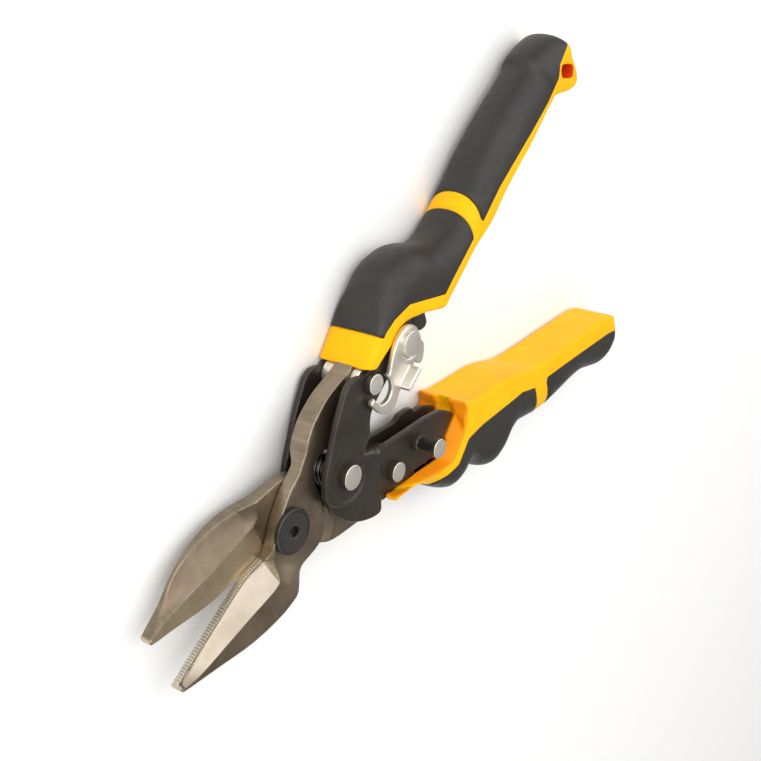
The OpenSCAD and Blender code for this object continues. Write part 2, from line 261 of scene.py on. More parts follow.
def resample(loop, step):
    P = np.vstack([loop, loop[:1]])
    d = np.r_[0, np.cumsum(np.linalg.norm(np.diff(P, axis=0), axis=1))]
    n = max(12, int(d[-1] / step))
    t = np.linspace(0, d[-1], n, endpoint=False)
    # keep the real corners: snap the nearest sample onto each sharp vertex
    Q = np.c_[np.interp(t, d, P[:, 0]), np.interp(t, d, P[:, 1])]
    k = len(loop)
    for i in range(k):
        a, b, c = loop[i - 1], loop[i], loop[(i + 1) % k]
        u, v = b - a, c - b
        if np.linalg.norm(u) < 1e-9 or np.linalg.norm(v) < 1e-9:
            continue
        if np.dot(u, v) / np.linalg.norm(u) / np.linalg.norm(v) < 0.85:
            j = np.argmin(np.linalg.norm(Q - b, axis=1))
            Q[j] = b
    return Q


def area2(l):
    return np.sum(l[:, 0] * np.roll(l[:, 1], -1) - np.roll(l[:, 0], -1) * l[:, 1])


def inside(p, loop):
    x, y = p[:, 0][:, None], p[:, 1][:, None]
    a, b = loop, np.roll(loop, -1, axis=0)
    cond = (a[:, 1] > y) != (b[:, 1] > y)
    with np.errstate(divide="ignore", invalid="ignore"):
        xi = (b[:, 0] - a[:, 0]) * (y - a[:, 1]) / (b[:, 1] - a[:, 1]) + a[:, 0]
    return (np.sum(cond & (x < xi), axis=1) % 2) == 1


def dist(p, loops):
    best = np.full(len(p), 1e9)
    for l in loops:
        a, b = l, np.roll(l, -1, axis=0)
        d = b - a
        L2 = np.maximum((d**2).sum(1), 1e-12)
        for s in range(0, len(p), 4000):
            q = p[s:s + 4000]
            t = np.clip(((q[:, None] - a) * d).sum(2) / L2, 0, 1)
            best[s:s + 4000] = np.minimum(best[s:s + 4000],
                np.linalg.norm(q[:, None] - a - t[..., None] * d, axis=2).min(1))
    return best


def circle(c, r, n=40):
    t = np.linspace(0, 2 * math.pi, n, endpoint=False)
    return np.c_[c[0] + r * np.cos(t), c[1] + r * np.sin(t)]


def slab_bm(outline, ztop, zbot, holes=(), extra=(), step=1.6, edge=0.8, rnd=0.35, bm=None, creases=(),
    rim=None):
    """A plate with rounded rims. ztop and zbot are heights, or functions of the points."""
    loop = resample(np.array(outline, float), edge) if edge else np.array(outline, float)
    if area2(loop) < 0:
        loop = loop[::-1]
    loops = [loop] + [circle(c, r, max(20, int(r * 9)))[::-1] for c, r in holes]
    pts, edges, nb = [], [], []
    for l in loops:
        b = len(pts)
        pts += list(l)
        edges += [(b + i, b + (i + 1) % len(l)) for i in range(len(l))]
        nb.append((b, len(l)))
    cand = []
    for l in loops:
        tg = np.roll(l, -1, axis=0) - np.roll(l, 1, axis=0)
        tg /= np.maximum(np.linalg.norm(tg, axis=1), 1e-9)[:, None]
        nr = np.c_[-tg[:, 1], tg[:, 0]]
        for o in (0.12 * rnd, 0.45 * rnd, rnd):
            q = l + nr * o
            q = q[(dist(q, loops) > 0.93 * o)]
            cand.append(q)
    lo, hi = loop.min(0), loop.max(0)
    gx, gy = np.meshgrid(np.arange(lo[0], hi[0], step), np.arange(lo[1], hi[1], step * 0.87))
    gx = gx + (np.arange(gx.shape[0])[:, None] % 2) * step / 2
    g = np.c_[gx.ravel(), gy.ravel()]
    cand.append(g)
    if len(extra):
        cand.append(np.array(extra, float))
    c = np.vstack(cand)
    ok = inside(c, loops[0])
    for h in loops[1:]:
        ok &= ~inside(c, h)
    c = c[ok]
    d = dist(c, loops)
    keep = d > 0.1 * rnd
    c, d = c[keep], d[keep]
    # thin out points that crowd each other
    if creases:
        far = np.min([np.linalg.norm(c[:, None] - q[None], axis=2).min(1) for q in creases], axis=0) > 0.14
        c, d = c[far], d[far]
    seen, sel = set(), []
    for i, p in enumerate(c):
        k = (round(p[0] / 0.09), round(p[1] / 0.09))
        if k not in seen:
            seen.add(k)
            sel.append(i)
    pts += list(c[sel])
    for q in creases:
        b = len(pts)
        pts += list(q)
        edges += [(b + i, b + i + 1) for i in range(len(q) - 1)]
    res = delaunay_2d_cdt([Vector((float(p[0]), float(p[1]))) for p in pts], edges, [], 0, 1e-5, True)
    V = np.array([(v.x, v.y) for v in res[0]])
    tri = [f for f in res[2] if len(f) == 3]
    cen = np.array([V[list(f)].mean(0) for f in tri])
    ok = inside(cen, loops[0])
    for h in loops[1:]:
        ok &= ~inside(cen, h)
    tri = [f for f, k in zip(tri, ok) if k]
    used = sorted({i for f in tri for i in f})
    D = dist(V, loops)
    zt = ztop(V) if callable(ztop) else np.full(len(V), float(ztop))
    zb = zbot(V) if callable(zbot) else np.full(len(V), float(zbot))
    r = np.minimum(rim(V) if rim else rnd, 0.42 * (zt - zb))
    k = np.clip(D, 0, r)
    drop = r - np.sqrt(np.maximum(r * r - (r - k) ** 2, 0))
    zt, zb = zt - drop, zb + drop
    bm = bm or bmesh.new()
    top = {i: bm.verts.new(row(V[i][0], V[i][1], zt[i])) for i in used}
    bot = {i: bm.verts.new(row(V[i][0], V[i][1], zb[i])) for i in used}
    count = {}
    for f in tri:
        bm.faces.new([top[i] for i in f])
        bm.faces.new([bot[i] for i in reversed(f)])
        for a, b in ((f[0], f[1]), (f[1], f[2]), (f[2], f[0])):
            count.setdefault((min(a, b), max(a, b)), []).append((a, b))
    for es in count.values():
        if len(es) == 1:
            a, b = es[0]
            bm.faces.new([top[b], top[a], bot[a], bot[b]])
    return bm


def lathe_bm(c, prof, seg=64, bm=None, sides=None):
    """prof is a closed list of (radius, z); sides gives a polygonal shank."""
    bm = bm or bmesh.new()
    n = sides or seg
    rings = []
    for r, z in prof:
        if r < 1e-6:
            rings.append([bm.verts.new(row(c[0], c[1], z))])
        else:
            rings.append([bm.verts.new(row(c[0] + r * math.cos(2 * math.pi * i / n),
                c[1] + r * math.sin(2 * math.pi * i / n), z)) for i in range(n)])
    k = len(rings)
    closed = prof[0][0] > 1e-6 and prof[-1][0] > 1e-6
    for j in range(k if closed else k - 1):
        a, b = rings[j], rings[(j + 1) % k]
        for i in range(n):
            i2 = (i + 1) % n
            if len(a) == 1 and len(b) == 1:
                continue
            if len(a) == 1:
                bm.faces.new([a[0], b[i2], b[i]])
            elif len(b) == 1:
                bm.faces.new([a[i], a[i2], b[0]])
            else:
                bm.faces.new([a[i], a[i2], b[i2], b[i]])
    return bm


def head(r, z0, z1, soft=0.35, crown=0.15, down=False):
    """Profile of a rivet head from its rim to its crown."""
    s = -1 if down else 1
    pr = [(r, z0), (r, z1 - s * soft)]
    pr += [(r - soft * (1 - math.cos(a)), z1 - s * soft * (1 - math.sin(a))) for a in (0.5, 1.05, 1.4)]
    pr += [(r - soft - 0.25, z1 + s * 0.02), (r * 0.5, z1 + s * crown * 0.7), (0, z1 + s * crown)]
    return pr


def face_up(f, lim=0.8):
    return abs(f.normal.z) > lim


# ---------------------------------------------------------------- fasteners
def rivet(name, c, shank, near, far, body, mats=None):
    """near and far are (head radius, seat z, face z)."""
    bm = bmesh.new()
    pr = [(0, far[2] - 0.1)] + head(far[0], far[1], far[2], 0.4, 0.1, True)[::-1][1:]
    pr += [(shank, far[1]), (shank, near[1])]
    pr += head(near[0], near[1], near[2], 0.3, 0.12)
    lathe_bm(c, pr, 64, bm)
    return finish_mesh(name + "_look", bm, mats or [OXIDE, NICKEL], body, [name], 30,
                       lambda f: 1 if face_up(f, 0.45) else 0)


rivet("handle_rivet", P2, 3, (4.4, 9.62, 11.8), (4.5, -10.02, -11.15), "upper_handle")
rivet("upper_tang_rivet", P1, 3, (3.6, 10.02, 12.3), (4.1, -10.02, -11.15), "upper_handle")
rivet("lower_tang_rivet", P3, 3, (3.7, 5.52, 8.0), (4.1, -5.52, -7.05), "lower_handle")
rivet("latch_rivet", PL, 2.5, (4.5, 13.24, 14.85), (3.5, 7.55, 6.7), "upper_handle", mats=[NICKEL, NICKEL])

bm = bmesh.new()
lathe_bm(P4, [(0, -6.9), (2.7, -6.9), (3.1, -6.5), (3.1, -5.55), (2, -5.5), (2, 5.5), (3.1, 5.52),
    (3.1, 6.9), (2.8, 7.3), (2.05, 7.4),
              (2.0, 8), (2.0, 13.5), (3.4, 13.62), (3.7, 13.8)] + head(3.7, 14.0, 15.45, 0.3, 0.1), 64, bm)
finish_mesh("latch_stud_look", bm, [OXIDE, NICKEL], "lower_handle", ["latch_stud"], 30,
            lambda f: 1 if f.normal.z > 0.45 and f.calc_center_median().z > (14 + OZ) * MM else 0)

# main bolt: flange, domed head and a hexagon socket
bm = bmesh.new()
lathe_bm(P0, [(0, -10.1), (3.6, -10.1), (4, -9.7), (4, 4.9), (7.2, 5.03), (7.5, 5.2), (7.5, 5.9),
    (7.85, 6.2),
              (7.9, 6.9), (7.6, 7.2), (7.0, 7.3), (6.75, 7.22), (6.6, 7.12), (2.9, 7.12), (2.7, 7.1),
              (2.6, 7.0)], 72, bm)
rim = [v for v in bm.verts if abs(v.co.z - (7.0 + OZ) * MM) < 1e-6]
rim.sort(key=lambda v: math.atan2(v.co.y - row(0, 0, 0)[1], v.co.x - row(0, 0, 0)[0]))
hx, hb = [], []
for v in rim:
    a = math.atan2(v.co.y - row(0, 0, 0)[1], v.co.x - row(0, 0, 0)[0])
    k = (math.degrees(a) - 15) % 60 - 30
    rr = 2.3 * math.cos(math.radians(30)) / math.cos(math.radians(k))
    hx.append(bm.verts.new(row(rr * math.cos(a), rr * math.sin(a), 6.9)))
    hb.append(bm.verts.new(row(rr * math.cos(a), rr * math.sin(a), 5.7)))
ctr = bm.verts.new(row(0, 0, 5.4))
n = len(rim)
for i in range(n):
    j = (i + 1) % n
    bm.faces.new([rim[i], rim[j], hx[j], hx[i]])
    bm.faces.new([hx[i], hx[j], hb[j], hb[i]])
    bm.faces.new([hb[i], hb[j], ctr])
finish_mesh("pivot_bolt_look", bm, [OXIDE2, BOLT_FACE], "lower_jaw", ["pivot_bolt"], 28,
            lambda f: 1 if f.normal.z > 0.9 and abs(f.calc_center_median().z - (7.12 + OZ) * MM) < 0.0001
            else 0)

bm = bmesh.new()
lathe_bm(P0, [(4.1, -5.06), (7.3, -5.06), (7.55, -5.16), (7.55, -5.38), (7.3, -5.48), (4.1, -5.48)], 64, bm)
finish_mesh("pivot_washer_look", bm, [NICKEL], "lower_jaw", ["pivot_washer"])

# hexagon nut with chamfered corners and a round locking collar
bm = bmesh.new()
n = 72
prev = None
for z, cap in ((-5.56, 6.9), (-5.9, 7.5), (-9.0, 7.5), (-9.55, 6.7)):
    ring = []
    for i in range(n):
        a = 2 * math.pi * i / n
        k = math.degrees(a) % 60 - 30
        r = min(7.5 * math.cos(math.radians(30)) / math.cos(math.radians(k)), cap)
        ring.append(bm.verts.new(row(r * math.cos(a), r * math.sin(a), z)))
    if prev:
        for i in range(n):
            bm.faces.new([prev[i], prev[(i + 1) % n], ring[(i + 1) % n], ring[i]])
    prev = ring
for r, z in ((5.6, -9.6), (5.5, -10.3), (5.2, -10.55), (4.15, -10.55), (4.1, -9.9), (4.1, -5.56)):
    ring = [bm.verts.new(row(r * math.cos(2 * math.pi * i / n), r * math.sin(2 * math.pi * i / n), z))
        for i in range(n)]
    for i in range(n):
        bm.faces.new([prev[i], prev[(i + 1) % n], ring[(i + 1) % n], ring[i]])
    prev = ring
finish_mesh("pivot_nut_look", bm, [OXIDE], "lower_jaw", ["pivot_nut"], 28)

bm = bmesh.new()
for a, b in ((4.46, 7.54), (-7.54, -2.96)):
    lathe_bm(P1, [(3.06, a), (4.9, a), (5.2, a + 0.3), (5.2, b - 0.3), (4.9, b), (3.06, b)], 48, bm)
finish_mesh("tang_spacers_look", bm, [NICKEL], "upper_handle", ["tang_spacers"])
bm = bmesh.new()
lathe_bm(P2, [(3.06, -5.08), (3.8, -5.08), (4, -4.9), (4, 4.9), (3.8, 5.08), (3.06, 5.08)], 48, bm)
finish_mesh("handle_bush_look", bm, [NICKEL], "upper_handle", ["handle_bush"])
bm = bmesh.new()
lathe_bm(PL, [(2.56, 10.04), (4.7, 10.04), (5, 10.25), (5, 10.95), (4.7, 11.13), (2.56, 11.13)], 64, bm)
finish_mesh("latch_washer_look", bm, [NICKEL], "upper_handle", ["latch_washer"])


def tube_bm(path, r, seg=12, bm=None):
    bm = bm or bmesh.new()
    P = [Vector(p) for p in path]
    up = Vector((0, 0, 1))
    prev = None
    for i, p in enumerate(P):
        t = (P[min(i + 1, len(P) - 1)] - P[max(i - 1, 0)]).normalized()
        s = t.cross(up)
        if s.length < 1e-3:
            s = Vector((1, 0, 0))
        s.normalize()
        u = s.cross(t)
        ring = [bm.verts.new(row(*(p + r * (math.cos(a) * s + math.sin(a) * u))))
            for a in [2 * math.pi * k / seg for k in range(seg)]]
        if prev:
            for k in range(seg):
                bm.faces.new([prev[k], prev[(k + 1) % seg], ring[(k + 1) % seg], ring[k]])
        else:
            bm.faces.new(ring[::-1])
        prev = ring
    bm.faces.new(prev)
    return bm


turns = 4.0
path = [(P2[0] + 5.25 * math.cos(t), P2[1] + 5.25 * math.sin(t), -3.4 + 6.8 * t / (2 * math.pi * turns))
        for t in np.linspace(0, 2 * math.pi * turns, 190)]
finish_mesh("return_spring_look", tube_bm(path, 0.8), [SPRING], "upper_handle", ["return_spring"],
    60)

# ---------------------------------------------------------------- blades
TANG_IN = [(45, 10.5), (38, 9), (33.5, 7.4), (31.5, 9.4), (27, 11.4), (22.5, 11.2), (18.8, 9), (17, 5),
    (16.9, 0)]
TANG_A = [(46.5, 27.7), (41, 27.3), (35.5, 26.8), (31, 25.6), (26, 23.6), (21.5, 20.4), (18, 16.8),
    (12.4, 13.8)]
EDGE_A = [(-13.2, -2.0), (-21.6, -1.65), (-37.7, -4.75), (-59.6, -9.75)]
JAW_A = [(6.2, 11.4), (-1.3, 6.3), (-7.1, 1.0), (-10.8, -1.9)] + EDGE_A + [(-60, -10.6), (-59.1, -11.3),
    (-47, -15.1), (-32.2, -19.7),
         (-20, -21.3), (-9.4, -20.9), (-6.4, -19.2), (-2.8, -16.6), (7.4, -16.4), (12, -14.6), (16, -8)]
NEAR_A = [(-60.2, -10.9), (-58.6, -10.35), (-51.9, -11.25), (-40.9, -10.9), (-29.85, -10.4), (-20.1, -10.2),
    (-15.5, -9.9), (-13.0, -9.0),
          (-11.8, -7.0), (-11.0, -5.0), (-9.6, -2.9), (-8.2, -0.9), (-6.6, 3)]
TANG_B = [(49.6, -29.7), (40, -29), (31, -28), (24, -26), (16, -23), (9.5, -18.7), (4, -14), (-2.7, -8.8)]
EDGE_B = [(-9, -3.3), (-21.4, -1.6), (-36, 0.9), (-50, 5.6), (-58.5, 8.4)]
JAW_B = EDGE_B + [(-58.7, 9.3), (-57.8, 10.1), (-48, 13.0), (-41, 16.1), (-34, 18.3), (-25.5, 19),
    (-17, 18.2), (-9, 16.4), (-3, 15.2), (5, 13.8),
                  (11.2, 11.9), (16, 8)]
NEAR_B = [(-60, 9.6), (-58, 9.5), (-51, 9.6), (-41, 9.6), (-30, 8.7), (-20, 7.6), (-15, 6.9), (-12.2, 5.0),
    (-11.0, 2.5), (-10, -0.5), (-9, -3.0), (-8.6, -5)]
BAND_B = [(-59.5, 9.6), (-52, 10.3), (-46.6, 10.3), (-37, 9.8), (-30, 9.0), (-23, 9.0), (-10, 8.8),
    (-5, 9.5), (4, 9.8)]
BAND_A = [(-59.5, 10.6), (-52, 12.2), (-46.6, 12.8), (-37, 13.6), (-30, 13.8), (-23, 13.9), (-10, 13.6),
    (-5, 12.8), (4, 11)]
LAND, LEDGE, PITCH = 2.3, 0.45, 1.0          # strip's height, its width, tooth pitch
ROOT = [(-12.7, -0.5), (-12.9, -2.5), (-13.4, -6), (-13.9, -10.5)]


def eye(c, a0, a1, r=8, n=9):
    return [(c[0] + r * math.cos(math.radians(a)), c[1] + r * math.sin(math.radians(a)))
        for a in np.linspace(a0, a1, n)]


def smoothstep(a, b, x):
    t = np.clip((x - a) / (b - a), 0, 1)
    return t * t * (3 - 2 * t)


def line_d(V, a, b):
    """Signed distance to the left of a-b."""
    a, b = np.array(a, float), np.array(b, float)
    d = (b - a) / np.linalg.norm(b - a)
    return d[0] * (V[:, 1] - a[1]) - d[1] * (V[:, 0] - a[0])


def line_y(x, pts):
    p = np.array(sorted((q[0], q[1]) for q in pts))
    return np.interp(x, p[:, 0], p[:, 1])


def open_dist(V, line):
    a, b = line[:-1], line[1:]
    d = b - a
    L2 = np.maximum((d**2).sum(1), 1e-12)
    best = np.full(len(V), 1e9)
    for s in range(0, len(V), 4000):
        q = V[s:s + 4000]
        t = np.clip(((q[:, None] - a) * d).sum(2) / L2, 0, 1)
        best[s:s + 4000] = np.linalg.norm(q[:, None] - a - t[..., None] * d, axis=2).min(1)
    return best


def along(line, step):
    d = np.r_[0, np.cumsum(np.linalg.norm(np.diff(line, axis=0), axis=1))]
    t = np.linspace(0, d[-1], max(2, int(d[-1] / step)))
    return np.c_[np.interp(t, d, line[:, 0]), np.interp(t, d, line[:, 1])]


def blade(name, tang, jaw, pin, eye_r, edge, near, band, side, body, toothed, thick0):
    """side +1: lower jaw, near side of the shear plane. side -1: upper jaw, far side."""
    sy = side
    inner = [(x, sy * y) for x, y in TANG_IN]
    outline = tang + jaw + inner[::-1] + eye(pin, -75 * sy, 100 * sy, eye_r)
    loop = resample(smooth(outline, 6), 0.5)
    E = along(smooth(edge, 8, False), 0.25)
    N = along(smooth(near, 6, False), 0.4)
    if toothed:
        ys = np.arange(-58.6, -14.5, PITCH / 4)
        zig = np.c_[ys, line_y(ys, E) + 0.19 * sy * (np.abs(((ys / PITCH) % 1) - 0.5) * 4 - 1)]
        on = (open_dist(loop, E) < 0.35) & (loop[:, 0] > -58.9) & (loop[:, 0] < -14.2)
        first = int(np.argmax(on))
        rest = np.roll(loop, -first, axis=0)[~np.roll(on, -first)]
        if np.linalg.norm(rest[-1] - zig[0]) > np.linalg.norm(rest[-1] - zig[-1]):
            zig = zig[::-1]
        loop = np.vstack([zig, rest])
    ring = np.vstack([N, [(0, sy * 5), (20, sy * 40), (60, sy * 40), (60, -sy * 60), (-70, -sy * 60),
        (-70, N[0][1] - sy * 0.4)]])
    groove = E.copy()
    groove[:, 1] -= sy * LEDGE * 1.02
    groove = groove[(groove[:, 0] > -58.6)]
    NC = N[inside(N, loop)]
    NC = NC[(dist(NC, [loop]) > 0.25) & (open_dist(NC, groove) > 0.25)]
    bx = np.arange(-58, -3, 0.5)
    BC = np.c_[bx, line_y(bx, band) * (1 if side < 0 else -1)]
    BC = BC[inside(BC, loop)]
    BC = BC[dist(BC, [loop]) > 0.25]

    def outer(V):          # height of the outer face above the shear plane
        r = np.hypot(V[:, 0], V[:, 1])
        x = V[:, 0]
        thick = thick0 - 0.07 * np.clip(-17 - x, 0, 60)
        z = 5.0 + (thick - 5.0) * smoothstep(10.5, 17.5, r) * (1 - smoothstep(-11, 0, x))
        near_face = inside(V, ring)
        dl = np.maximum(open_dist(V, groove), 0)
        dn = open_dist(V, N)
        cut = LAND + (z - LAND) * dl / np.maximum(dl + dn, 1e-6)
        de = open_dist(V, E)
        cut = np.where(de < LEDGE * 1.03, LAND, cut - 0.55 * np.exp(-((de - LEDGE - 0.25) / 0.16) ** 2))
        bite = (~near_face) & (x < -5)
        z = np.where(bite, np.minimum(cut, z), z)
        back = 4.4 + 0.6 * (1 - smoothstep(17, 23, r))
        return np.where(x > 12, np.minimum(z, back), z)

    def shear(V):          # depth of the shear side below the plane
        r = np.hypot(V[:, 0], V[:, 1])
        x = V[:, 0]
        y = V[:, 1] * -sy
        yb = line_y(x, band)
        yr = line_y(x, [(-59, 11), (-48, 13.5), (-34, 18.6), (-25.5, 19.3), (-9, 17), (-3, 16), (4, 15)])
        t = np.clip((y - yb) / np.maximum(yr - yb, 0.8), 0, 1)
        h = np.interp(x, [-58, -40, -24, -10, -4], [2.2, 4.2, 3.9, 2.6, 0])
        z = 0.03 + h * t * (1.5 - 0.5 * t)
        return np.where(x > 8, 0.03 * (r < 20.1) - 2.9 * smoothstep(19.9, 26.0, r), z)

    def ztop(V):
        return outer(V) if side > 0 else -shear(V)

    def zbot(V):
        return shear(V) if side > 0 else -outer(V)

    RC = along(np.array([(x, y * side) for x, y in ROOT], float), 0.4)
    RC = RC[inside(RC, loop)]
    RC = RC[(dist(RC, [loop]) > 0.25) & (open_dist(RC, groove) > 0.3) & (open_dist(RC, N) > 0.3)]
    extra = [p for rr in (19.8, 20.1, 20.4) for p in circle((0, 0), rr, 190)]
    for k in (0.2, 0.62, 0.78, 0.95, 1.2):
        q = E[::2].copy()
        q[:, 1] -= sy * k
        extra += list(q)
    bm = slab_bm(loop, ztop, zbot, [(P0, 4.06), (pin, 3.06 if side > 0 else 3.7)], extra, 1.25, 0, 0.5,
                 creases=[c for c in (NC, groove, BC, RC) if len(c) > 3],
                 rim=lambda V: np.where(open_dist(V, E) < 1.5, 0.1, 0.5))

    def which(f):
        c = f.calc_center_median()
        x, y = c.x / MM + OX, c.y / MM + OY
        V = np.array([[x, y]])
        up = f.normal.z * side
        if x < -8.5:
            de = float(open_dist(V, E)[0])
            if de < LEDGE and up > -0.4 and x < -12.6:
                return 2
            # faces between the teeth strip and the relief (LEDGE to LEDGE + 0.36 from the edge) and past
            # the ROOT line towards the boss fall through to the forged colour: painted shade for the groove
            # and the root fillet
            if up > 0.1 and de > LEDGE + 0.36 and x < np.interp(y * sy, [-10.5, -6, -2.5, -0.5],
                [-13.9, -13.4, -12.9, -12.7]) and not inside(V, ring)[0]:
                return 1
            if up < -0.5 and y * -sy < float(line_y(x, band)):
                return 3
        return 0

    return finish_mesh(name + "_look", bm, [FORGED_AND_SHADE, GROUND, TEETH, SHEAR], body, [name], 24,
        which)


blade("blade_lower", TANG_A, JAW_A, P1, 6.4, EDGE_A, NEAR_A, BAND_A, 1, "lower_jaw", True, 8.0)
blade("blade_upper", TANG_B, JAW_B, P3, 8, EDGE_B, NEAR_B, BAND_B, -1, "upper_jaw", False, 7.3)

# ---------------------------------------------------------------- frames
UF = [(14.8, 0.9), (16.2, 4.9), (18.6, 8.5), (23.9, 14), (30.3, 20.7), (35.4, 25.0), (39.6, 28.2),
    (43.2, 29.0), (46.2, 28.0), (49.6, 26.2), (54, 27.4), (60, 30.8), (77, 38.0), (77, 27.5), (75.2, 22.6),
      (73.2, 19.4), (69.9, 18.5), (66, 19.4), (60, 17.5), (52, 14.8), (46.2, 12.1), (43.4, 8), (42.4, 5.1),
      (37.6, 2.1), (35.6, -1.9), (33.4, -7.4),
      (27.8, -10.5), (21.6, -9), (16.6, -4.4)]
uf = smooth(UF, 5, True, (12, 13))


def dimple(V):
    r = np.hypot(V[:, 0] - P2[0], V[:, 1] - P2[1])
    return 10 - 0.4 * (1 - smoothstep(8.7, 9.4, r))


ring_pts = [p for rr in (8.7, 8.9, 9.2, 9.4) for p in circle(P2, rr, 90)]
bm = slab_bm(uf, dimple, 7.6, [(P1, 3.06), (P2, 3.06), (PL, 2.56)], ring_pts, 2.4, 0.8, 0.45)
slab_bm(uf, -7.6, -10, [(P1, 3.06), (P2, 3.06)], (), 3.0, 0.9, 0.45, bm)
web = [(66, 34.2), (79, 37), (97, 35.1), (118, 34.6), (143, 42.1), (180, 53.6), (180, 56), (143, 44.5),
    (118, 36.2), (97, 36.2), (80, 39.6), (66, 36.4)]
slab_bm(np.array(web), 8, -8, (), (), 4, 2.0, 0.4, bm)
UT = [(75, 28.5), (84, 29.5), (95, 27), (118, 30.5), (143, 37.5), (180, 49.5), (180, 56), (143, 44.5),
    (118, 36.2), (97, 36.2), (80, 39.6), (75, 38.6)]
slab_bm(np.array(UT, float), 8, 5.6, (), (), 4, 2.0, 0.4, bm)
slab_bm(np.array(UT, float), -5.6, -8, (), (), 4, 2.0, 0.4, bm)
finish_mesh("upper_frame_look", bm, [OXIDE], "upper_handle", ["upper_frame"], 30)

# lower frame: lobe inside the upper one, a joggle, then the cheeks
JOG_A, JOG_B = (36.6, -28.8), (45.3, -8.6)
LOBE = [(17.2, -4), (17, -9.2), (19.6, -14.6), (24.1, -20.7), (30, -25.6), (36.0, -28.4), (39.4, -27.2),
    (42.6, -28.2), (48.6, -29), (60, -32.8), (71.7, -36.8), (79.2, -39.4),
        (79.5, -32.5), (88.2, -27.9), (85.6, -24.6), (82.3, -21.3), (74.7, -17.8), (60, -12.7),
        (51.2, -9.7), (47.3, -8.6), (42, -4.4), (38, -1), (34.5, 6), (27.3, 9.8), (20.4, 7.2)]
LOBE_F = LOBE[:12] + [(84, -41), (84, -33), (88.7, -27.8), (81.7, -21.4), (77.6, -20.2), (76.6, -17.6),
    (70.6, -15.2), (67.4, -15.6), (65, -15.2), (57.8, -12.4), (51.2, -9.7),
                      (47.3, -8.6), (42, -4.4), (38, -1), (34.5, 6), (27.3, 9.8), (20.4, 7.2)]


def joggle(hi, lo):
    def f(V):
        d = -line_d(V, JOG_A, JOG_B)       # positive towards the handle
        return hi + (lo - hi) * smoothstep(-0.2, 3.0, d)
    return f


jog_pts = []
for k in np.arange(-0.6, 3.4, 0.4):
    for s in np.linspace(-0.1, 1.1, 40):
        a, b = np.array(JOG_A), np.array(JOG_B)
        n = np.array([b[1] - a[1], -(b[0] - a[0])]) / np.linalg.norm(b - a)
        jog_pts.append(tuple(a + (b - a) * s + n * k))
lo1 = smooth(LOBE, 5, True, (11, 12, 13, 15))
lo2 = smooth(LOBE_F, 5, True, (12, 13, 14))
bm = slab_bm(lo1, joggle(7.3, 5.5), joggle(5.3, 3.1), [(P2, 3.06), (P3, 3.06), (P4, 2.06)], jog_pts, 2.2,
    0.8, 0.45)
slab_bm(lo2, joggle(-5.3, -3.1), joggle(-7.3, -5.5), [(P2, 3.06), (P3, 3.06), (P4, 2.06)], jog_pts, 2.4,
    0.8, 0.45, bm)
LT = [(76, -33), (84, -34.5), (100, -42), (120, -48.5), (140, -55.2), (180, -68.5), (180, -75.5),
    (140, -62.2), (120, -55.5), (100, -50), (84, -43), (76, -39.1)]
LW = [(58, -29.7), (71.7, -34.4), (84, -40.6), (100, -47.6), (120, -53.1), (140, -59.8), (180, -73.1),
    (180, -75.5),
      (140, -62.2), (120, -55.5), (100, -50), (84, -43), (71.7, -36.8), (58, -32.1)]
slab_bm(np.array(LT, float), 5.5, 3.1, (), (), 4, 2.0, 0.4, bm)
slab_bm(np.array(LT, float), -3.1, -5.5, (), (), 4, 2.0, 0.4, bm)
slab_bm(np.array(LW, float), 5.5, -5.5, (), (), 4, 2.0, 0.4, bm)
finish_mesh("lower_frame_look", bm, [OXIDE], "lower_handle", ["lower_frame"], 30)

# ---------------------------------------------------------------- latch
arc = lambda c, r, a0, a1, n: [(c[0] + r * math.cos(math.radians(a)), c[1] + r * math.sin(math.radians(a)))
    for a in np.linspace(a0, a1, n)]
MS = (PL[0] + 19.2 * math.cos(math.radians(198)), PL[1] + 19.2 * math.sin(math.radians(198)))
J_TIP_OUT = arc(PL, 26.0, 200, 193.5, 3)
MOUTH_OUT = arc(PL, 19.2 + 4.7, 192.5, 197, 3)
MOUTH_SEAT = arc(MS, 4.7, 198 + 8, 198 + 172, 10)
MOUTH_IN = arc(PL, 19.2 - 4.7, 197, 188, 3)
LATCH = arc(PL, 6.2, 105, -25, 9) + [(76.7, 18.6), (74.6, 14.6), (72.2, 13), (70.9, 14.2), (69.9, 15.9),
    (68.9, 15.4), (68.2, 14.8), (58.9, 11.9), (55.9, 9.6), (52.9, 8.5),
                                      (49.6, 9.3), (47.2, 11.5)] + (
    J_TIP_OUT + MOUTH_OUT + MOUTH_SEAT + MOUTH_IN
    + [(56.6, 21.2), (58.6, 23.2), (61.7, 26.4), (65.2, 28.9)])
lt = smooth(LATCH, 4, True)


def latch_top(V):
    r = np.hypot(V[:, 0] - PL[0], V[:, 1] - PL[1])
    return 13.2 - 0.28 * np.exp(-((r - 5.6) / 0.28) ** 2)


bm = slab_bm(lt, latch_top, 11.2, [(PL, 2.56)], [p for rr in (5.0, 5.3, 5.6, 5.9, 6.2)
    for p in circle(PL, rr, 70)], 1.2, 0.45, 0.5)
